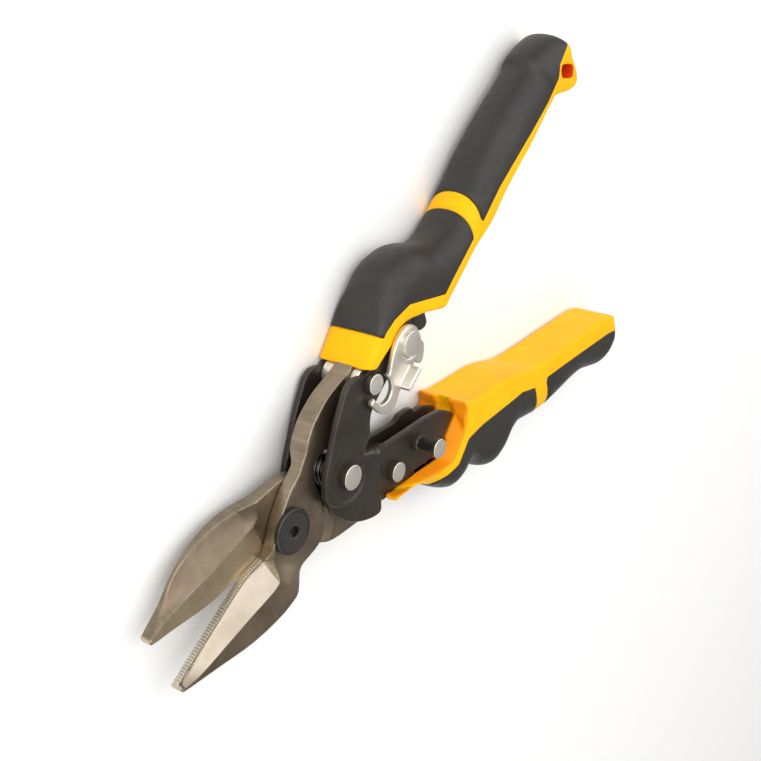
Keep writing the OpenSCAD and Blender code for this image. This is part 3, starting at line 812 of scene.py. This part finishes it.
# thumb tab: a curl bent up out of the plate along its long edge
a, b = np.array((67.6, 14.9)), np.array((59.4, 12.25))
d = (b - a) / np.linalg.norm(b - a)
nn = np.array((-d[1], d[0]))          # points towards the free side
if nn[1] > 0:
    nn = -nn
prof = [(2.4, 11.25), (0.9, 11.25), (0.25, 11.5), (0.0, 12.2), (-0.1, 14), (-0.1, 16.4), (0.05, 16.95),
    (0.5, 17.25), (1.2, 17.25), (1.65, 16.95), (1.8, 16.4), (1.85, 14.4), (2.0, 13.6), (2.5, 13.2)]
rows = []
for s, sh in ((0, 0.35), (0.04, 0.1), (0.12, 0), (0.88, 0), (0.96, 0.1), (1, 0.35)):
    p = a + (b - a) * s
    cz = 14.2
    ring = []
    for w, z in prof:
        w2 = 0.85 + (w - 0.85) * (1 - sh * 0.5)
        z2 = cz + (z - cz) * (1 - sh * 0.25) if z > 13.5 else z
        q = p - nn * (w2 - 0.1)
        ring.append(bm.verts.new(row(q[0], q[1], z2)))
    rows.append(ring)
k = len(prof)
for r0, r1 in zip(rows, rows[1:]):
    for i in range(k):
        bm.faces.new([r0[i], r0[(i + 1) % k], r1[(i + 1) % k], r1[i]])
bm.faces.new(rows[0][::-1])
bm.faces.new(rows[-1])
finish_mesh("latch_look", bm, [NICKEL], "latch", ["latch"], 34)

# ---------------------------------------------------------------- handles
U_PAIRS = [((54.4, 24.8), (49.8, 27.8)), ((59.7, 26.0), (54.6, 31.0)), ((65.4, 27.0), (60.2, 34.9)),
    ((71.4, 29.1), (68.0, 42.2)), ((76.4, 28.2), (77.5, 48.2)),
           ((84.2, 24.9), (88, 47.9)), ((90, 21.6), (94, 45.3)), ((94.9, 19), (99, 41.6)),
           ((99, 20.5), (104, 39.8)), ((107.7, 23.5), (112, 39.6)),
           ((117.7, 27.1), (119.6, 41.8)), ((124, 28.4), (126, 44.6)), ((132.2, 30), (133, 48)),
           ((143, 34.2), (141, 52.2)), ((154, 37.4), (150, 55.8)),
           ((166, 40.7), (162, 59.5)), ((178, 45), (173, 62.4)), ((184, 47), (179, 63.9)),
           ((189.2, 48.7), (184, 65.7)), ((193.4, 49.4), (189.5, 66.4)),
           ((197, 50.0), (195, 66.3)), ((200, 52.6), (199, 65.2)), ((202, 56), (201.3, 63.4))]
L_PAIRS = [((42.6, -26), (42.4, -28.7)), ((50, -25.6), (50.2, -32.2)), ((60, -28.2), (59, -37.4)),
    ((67, -29.6), (64.5, -44.5)), ((72, -28.2), (69, -50.4)),
           ((77, -25.6), (74, -54.6)), ((84.1, -21.6), (80.5, -55.4)), ((89.4, -22.5), (86.2, -53.6)),
           ((94.6, -25.9), (89.4, -55.0)), ((99.6, -28.2), (92.8, -61.6)),
           ((105, -30.2), (98.6, -66)), ((112, -32.7), (105.6, -65.8)), ((118, -34.9), (112, -63)),
           ((123, -37.3), (118.5, -62.6)), ((129, -41), (126, -65.8)),
           ((135, -45), (132, -68.8)), ((143, -48.2), (139.5, -71.4)), ((154, -52), (150, -73.6)),
           ((165, -55.6), (161, -75.6)), ((175, -59), (169.5, -78.2)),
           ((184, -62), (177.5, -82.8)), ((190, -64.1), (184, -86.4)), ((194, -65.6), (190, -87.2)),
           ((196.8, -67.4), (194.6, -85.6))]
U_LINE = [(50.2, 26.6), (60.4, 31.6), (63, 33.2), (68.8, 34.3), (78.1, 33.7), (96.3, 23.8), (101.4, 25.8),
    (119.4, 32), (126.6, 34), (140, 38.8), (167, 45.0), (180.7, 48.8), (189.2, 52.6), (192, 57.2),
    (200.6, 60.8), (206, 62)]
L_LINE = [(58, -41), (64.3, -41.2), (77.6, -43), (86.5, -38), (96.3, -39.5), (123.6, -47.3), (133.5, -53.6),
    (140.1, -54.9), (190.2, -72.2), (196, -75), (210, -79)]
SUB = 6          # steps between two stations


def cross(I, O, line):
    for a, b in zip(line, line[1:]):
        a, b = np.array(a, float), np.array(b, float)
        r, s = O - I, b - a
        den = r[0] * s[1] - r[1] * s[0]
        if abs(den) < 1e-9:
            continue
        t = ((a - I)[0] * s[1] - (a - I)[1] * s[0]) / den
        u = ((a - I)[0] * r[1] - (a - I)[1] * r[0]) / den
        if -1e-6 <= u <= 1 + 1e-6 and 0.02 < t < 0.98:
            return t
    return None


def handle(pairs, line, half, zones, dz, boxy=lambda s: 0.0, swell=lambda s: 0.0):
    """Rings of points along a handle. zones: (first, last) station of each soft cover."""
    S = smooth([a + b for a, b in pairs], SUB, False)
    st = np.linspace(0, len(pairs) - 1, len(S))
    yellow, black = [], [[] for _ in zones]
    for s, q in zip(st, S):
        I, O = q[:2], q[2:]
        W = np.linalg.norm(O - I)
        e = (O - I) / W
        Hn, Hf = half(s)
        ri = min(1.2, W * 0.3)
        box = boxy(s)
        a = min(0.66 * W, 12.0) * (1 - box) + min(0.5 * W, 3.6) * box
        ex = 2.25 + 1.6 * box
        t = cross(I, O, line)
        wb = (t if t is not None else 0.5) * W
        wb = min(max(wb, ri + 0.2), W - 1.0)

        def zprof(w, H):
            x = np.clip((w - (W - a)) / a, 0, 1)
            return H * (1 - x**ex) ** (1 / ex)

        def curve(ws, H, sgn, inset):
            z = zprof(ws, H)
            dzw = np.gradient(z, ws) if len(ws) > 2 else 0 * z
            nrm = np.sqrt(1 + dzw**2)
            nx, nz = -dzw / nrm, 1 / nrm
            nx = np.where(ws >= W - 1e-6, 1, nx)
            nz = np.where(ws >= W - 1e-6, 0, nz)
            return [(w - inset * i, sgn * (zz - inset * j)) for w, zz, i, j in zip(ws, z, nx, nz)]

        cov = any(z0 <= s <= z1 for z0, z1 in zones)
        wy = np.linspace(ri, wb, 6)
        wk = wb + (W - wb) * np.sin(np.linspace(0, math.pi / 2, 15))
        ins = 0.95 if cov else 0.0
        near = curve(wy, Hn, 1, 0)
        under = curve(wk, Hn, 1, ins)
        far = curve(wy, Hf, -1, 0)
        fund = curve(wk, Hf, -1, ins)
        ca = [math.radians(v) for v in (15, 40, 65)]
        c_far = [(ri - ri * math.cos(v), -(Hf - ri + ri * math.sin(v))) for v in ca]
        c_near = [(ri - ri * math.cos(v), (Hn - ri + ri * math.sin(v))) for v in ca][::-1]
        flat = [(0, z) for z in np.linspace(Hn - ri, -(Hf - ri), 7)]
        ring = near[::-1] + c_near + flat + c_far + far + fund[:-1] + under[::-1][:-1]
        yellow.append([(I[0] + e[0] * w, I[1] + e[1] * w, z + dz) for w, z in ring])
        for zi, (z0, z1) in enumerate(zones):
            if z0 <= s <= z1:
                nearb = curve(wk, Hn, 1, -0.12 - swell(s))
                farb = curve(wk, Hf, -1, -0.12 - swell(s))
                tuck = [(1.5, 1.1), (0.55, 0.95), (0.1, 0.35), (-0.0, 0.02)]
                lip_n = [(wb + 0.05 + (0.9 if i == 0 else 0),
                    curve(np.array([wb, wb + 0.1, wb + 0.2]), Hn, 1, d)[0][1]) for i,
                    (_, d) in enumerate(tuck)]
                lip_f = [(w, curve(np.array([wb, wb + 0.1, wb + 0.2]), Hf, -1, d)[0][1]) for (w, _),
                    (_, d) in zip(lip_n, tuck)]
                strip = lip_n + nearb[1:] + farb[::-1][1:-1] + lip_f[::-1]
                black[zi].append([(I[0] + e[0] * w, I[1] + e[1] * w, z + dz) for w, z in strip])
    return yellow, black


def cover_bm(rows):
    """A soft cover: its ends roll under like its sides."""
    R = [np.array(r) for r in rows]

    def shrink(r, nxt, along, depth):
        c = r.mean(0)
        t = (r - nxt)
        t = t / np.maximum(np.linalg.norm(t, axis=1), 1e-9)[:, None]
        rad = r - (r[0] + r[-1]) / 2 * 0.5 - c * 0.5
        rad = rad / np.maximum(np.linalg.norm(rad, axis=1), 1e-9)[:, None]
        return r + t * along - rad * depth
    ends = []
    for r, nxt in ((R[0], R[1]), (R[-1], R[-2])):
        ends.append([shrink(r, nxt, 0.35, 0.3), shrink(r, nxt, 0.45, 0.8), shrink(r, nxt, -0.6, 1.1)])
    R = ends[0][::-1] + R + ends[1]
    bm = bmesh.new()
    prev = None
    for r in R:
        ring = [bm.verts.new(row(*p)) for p in r]
        if prev:
            for i in range(len(ring) - 1):
                bm.faces.new([prev[i], prev[i + 1], ring[i + 1], ring[i]])
        prev = ring
    return bm


def body_bm(rows, end_round):
    bm = bmesh.new()
    R = [np.array(r) for r in rows]
    last, c = R[-1], R[-1].mean(0)
    t = (R[-1].mean(0) - R[-2].mean(0))
    t /= np.linalg.norm(t)
    for k, g in end_round:
        R.append(c + (last - c) * k + t * g)
    prev = None
    for r in R:
        ring = [bm.verts.new(row(*p)) for p in r]
        if prev:
            n = len(ring)
            for i in range(n):
                bm.faces.new([prev[i], prev[(i + 1) % n], ring[(i + 1) % n], ring[i]])
        else:
            first = ring
        prev = ring
    bm.faces.new(first[::-1])
    bm.faces.new(prev)
    return bm


def raw_object(name, bm):
    bmesh.ops.recalc_face_normals(bm, faces=bm.faces)
    me = bpy.data.meshes.new(name)
    bm.to_mesh(me)
    bm.free()
    o = bpy.data.objects.new(name, me)
    bpy.context.scene.collection.objects.link(o)
    return o


def moulded(name, bodies, cutters, voxel, mats, ride, replaces, pick=None):
    """Cuts the hollows, joins the lumps, then remeshes so that every edge is softly rounded."""
    tools = [raw_object(name + "_cut%d" % i, cb) for i, cb in enumerate(cutters)]
    whole = bmesh.new()
    for body in bodies:
        o = raw_object(name + "_lump", body)
        for c in tools:
            m = o.modifiers.new("cut", "BOOLEAN")
            m.operation, m.solver, m.object = "DIFFERENCE", "EXACT", c
        dg = bpy.context.evaluated_depsgraph_get()
        me = bpy.data.meshes.new_from_object(o.evaluated_get(dg), depsgraph=dg)
        whole.from_mesh(me)
        bpy.data.objects.remove(o)
        bpy.data.meshes.remove(me)
    o = raw_object(name, whole)
    r = o.modifiers.new("remesh", "REMESH")
    r.mode, r.voxel_size, r.adaptivity = "VOXEL", voxel * MM, 0
    s = o.modifiers.new("soften", "SMOOTH")
    s.factor, s.iterations = 0.5, 4
    d = o.modifiers.new("thin", "DECIMATE")
    d.ratio = 0.3
    dg = bpy.context.evaluated_depsgraph_get()
    me = bpy.data.meshes.new_from_object(o.evaluated_get(dg), depsgraph=dg)
    for x in tools:
        bpy.data.objects.remove(x)
    o.modifiers.clear()
    o.data = me
    me.materials.clear()
    for m in mats:
        me.materials.append(m)
    for p in me.polygons:
        p.use_smooth = True
        if pick:
            c = p.center
            p.material_index = pick(c.x / MM + OX, c.y / MM + OY, c.z / MM - OZ, p.normal)
    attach(o, ride)
    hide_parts(*replaces)
    return o


def prism_bm(v, z0, z1):
    bm = bmesh.new()
    a = [bm.verts.new(row(p[0], p[1], z0)) for p in v]
    b = [bm.verts.new(row(p[0], p[1], z1)) for p in v]
    n = len(v)
    bm.faces.new(a[::-1])
    bm.faces.new(b)
    for i in range(n):
        bm.faces.new([a[i], a[(i + 1) % n], b[(i + 1) % n], b[i]])
    return bm


def u_half(s):
    k = smoothstep(10, 17, s)
    return 11.05 - 0.15 * float(smoothstep(1, 4, s)) - 1.3 * float(k), 11.36 - 1.1 * float(k)


def l_half(s):
    k = smoothstep(12, 18, s)
    return 10.9 - 1.2 * float(k), 11.36 - 1.1 * float(k)


VOX = 0.5            # mm
COVER_WALL = 0.6                            # mm
uy, ub = handle(U_PAIRS, U_LINE, u_half, [(1.99, 10.0), (11.15, 21.6)], 0,
    lambda s: 1 - float(smoothstep(1.6, 3.6, s)),
                lambda s: 0.85 * float(smoothstep(17.1, 17.7, s)))
ly, lb = handle(L_PAIRS, L_LINE, l_half, [(3.0, 14.75), (16.0, 22.9)], 0)
U_CAV = [(44, 12), (79.1, 12), (79.1, 37), (67, 34.6), (60.4, 31.6), (54.2, 28.4), (50.2, 26.4), (44, 24)]
L_CAV = [(36, -5), (89, -5), (89, -28.4), (79.8, -33.2), (79.8, -39.8), (71.7, -37), (48.6, -29.2),
    (36, -29)]
PAD_SLOT = [(80, -5), (91.8, -5), (91.8, -24.4), (90.4, -28.8), (80, -30)]
MOUTH_LOW = [(36, -21), (42, -25.4), (48.2, -29.0), (59, -31.2), (71.9, -36.0), (79.3, -33.2),
    (88.4, -27.6), (89, -21), (89, -6), (38, -6)]
MOUTH_HIGH = [(33, -21.6), (42.2, -25.4), (49, -28.6), (60.5, -33.8), (74.8, -39.3), (84.9, -34.2),
    (90.2, -26.8), (90.6, -19.5), (90.6, -6), (36, -6)]
LUG = [(184, 48.6), (190.0, 46.8), (196, 44.4), (201.2, 43.8), (203.2, 45.8), (203.5, 49.6), (201.3, 59.6),
    (199.5, 60), (192.6, 56.4), (190.2, 52.2), (183, 50)]
LUG_HOLE = [(193.3, 55.0), (194.6, 56.2), (200.2, 53.2), (200.9, 51.9), (200.1, 49.4), (198.8, 48.7),
    (193.6, 51.5), (192.8, 53.0)]


def flared_bm(low, high, z0, z1, reach):
    """A cutter that widens from low at z0 to high at z1, carried on to reach."""
    a, b = np.array(low, float), np.array(high, float)
    t = (reach - z0) / (z1 - z0)
    bm = bmesh.new()
    p = [bm.verts.new(row(x, y, z0)) for x, y in a]
    q = [bm.verts.new(row(x, y, reach)) for x, y in a + (b - a) * t]
    n = len(p)
    bm.faces.new(p)
    bm.faces.new(q)
    for i in range(n):
        bm.faces.new([p[i], p[(i + 1) % n], q[(i + 1) % n], q[i]])
    return bm


lug = slab_bm(smooth(LUG, 4), 9.6, -10.3, (), (), 2.0, 0.8, 1.3)
# faces on the walls of the lug hole get the deep orange, painted shade inside the hole
moulded("upper_sleeve_look", [body_bm(uy, [(0.93, 0.8), (0.8, 1.2)]), lug],
    [prism_bm(U_CAV, -10.05, 10.05), prism_bm(smooth(LUG_HOLE, 3), -20, 20)], VOX,
        [YELLOW, LUG_HOLE_PAINTED_SHADE], "upper_handle", ["upper_sleeve"],
        lambda x, y, z, n: 1 if abs(n.z) < 0.75 and math.hypot(x - 196.9, y - 52.4) < 4.6 else 0)
moulded("lower_sleeve_look", [body_bm(ly, [(0.95, 0.7), (0.85, 1.0)])],
        [prism_bm(L_CAV, -5.6, 5.6), prism_bm(PAD_SLOT, -3.2, 3.2),
        flared_bm(MOUTH_LOW, MOUTH_HIGH, 5.5, 10.9, 14),
        flared_bm(MOUTH_LOW, MOUTH_HIGH, -5.5, -11.5, -15)], VOX,
        [MOUTH_PAINTED_SHADE], "lower_handle", ["lower_sleeve"])
for nm, rows_, bd in (("upper_grip_front", ub[0], "upper_handle"),
    ("upper_grip_rear", ub[1], "upper_handle"),
                      ("lower_grip_front", lb[0], "lower_handle"),
                      ("lower_grip_rear", lb[1], "lower_handle")):
    o = finish_mesh(nm + "_look", cover_bm(rows_), [RUBBER], bd, [nm], 50)
    m = o.modifiers.new("wall", "SOLIDIFY")
    m.thickness, m.offset = COVER_WALL * MM, -1

bm = slab_bm(smooth([(86.4, 13.8), (87.6, 12.1), (89.4, 11.5), (91.2, 11.7), (92.4, 13.2), (92.7, 19.6),
    (86.4, 23.6)], 5, True, (5, 6)), 2.7, -2.7, (), (), 1.2, 0.5, 1.2)
finish_mesh("stop_pad_look", bm, [RUBBER], "upper_handle", ["stop_pad"], 40)

# ---------------------------------------------------------------- stage, light, camera
WORLD_STRENGTH = 0.38
FLOOR_HALF, FLOOR_DROP = 6, 0.0002          # metres
FOCAL, SENSOR = 60.953, 36                  # mm
CAM_AT = (-170.1, 289.7, 256.9)             # tool frame, mm
world = bpy.data.worlds.new("studio")
bpy.context.scene.world = world
world.use_nodes = True
world.node_tree.nodes["Background"].inputs[0].default_value = (1.0, 0.99, 0.975, 1)
world.node_tree.nodes["Background"].inputs[1].default_value = WORLD_STRENGTH
bm = bmesh.new()
bmesh.ops.create_grid(bm, x_segments=1, y_segments=1, size=FLOOR_HALF)
me = bpy.data.meshes.new("floor")
bm.to_mesh(me)
bm.free()
floor = bpy.data.objects.new("floor", me)
bpy.context.scene.collection.objects.link(floor)
floor.location.z = -FLOOR_DROP
fm, nt, b = new_mat("floor_pale")
b.inputs["Base Color"].default_value = (0.93, 0.93, 0.925, 1)
b.inputs["Roughness"].default_value = 0.8
floor.data.materials.append(fm)


def area(name, loc, target, size, power, col=(1, 1, 1)):
    l = bpy.data.lights.new(name, "AREA")
    l.shape, l.size, l.size_y = "RECTANGLE", size[0], size[1]
    l.energy, l.color = power, col
    o = bpy.data.objects.new(name, l)
    bpy.context.scene.collection.objects.link(o)
    o.location = loc
    o.rotation_euler = (Vector(target) - Vector(loc)).to_track_quat("-Z", "Y").to_euler()


area("key", (-0.5, 0.9, 0.8), (0, 0, 0), (1.3, 1.3), 12, (1, 0.985, 0.96))
area("top", (0.6, 0.3, 1.0), (0, 0, 0), (1.7, 1.7), 12)
area("front", (-0.9, -0.5, 0.6), (0, 0, 0), (0.9, 0.9), 3.5, (1, 0.99, 0.98))
bpy.context.scene.view_settings.view_transform = "Standard"

cam = bpy.data.cameras.new("camera")
cam.sensor_width = SENSOR
cam.lens = FOCAL
cam.clip_start = 0.01
co = bpy.data.objects.new("camera", cam)
bpy.context.scene.collection.objects.link(co)
right = Vector((0.5567, -0.2582, 0.7896))
up = Vector((0.6453, 0.7330, -0.2153))
fwd = Vector((0.5232, -0.6293, -0.5747))
M = Matrix(((*right, 0), (*up, 0), (*(-fwd), 0), (0, 0, 0, 1))).transposed()
co.matrix_world = Matrix.Translation(Vector(row(*CAM_AT))) @ M.to_quaternion().to_matrix().to_4x4()
bpy.context.scene.camera = co
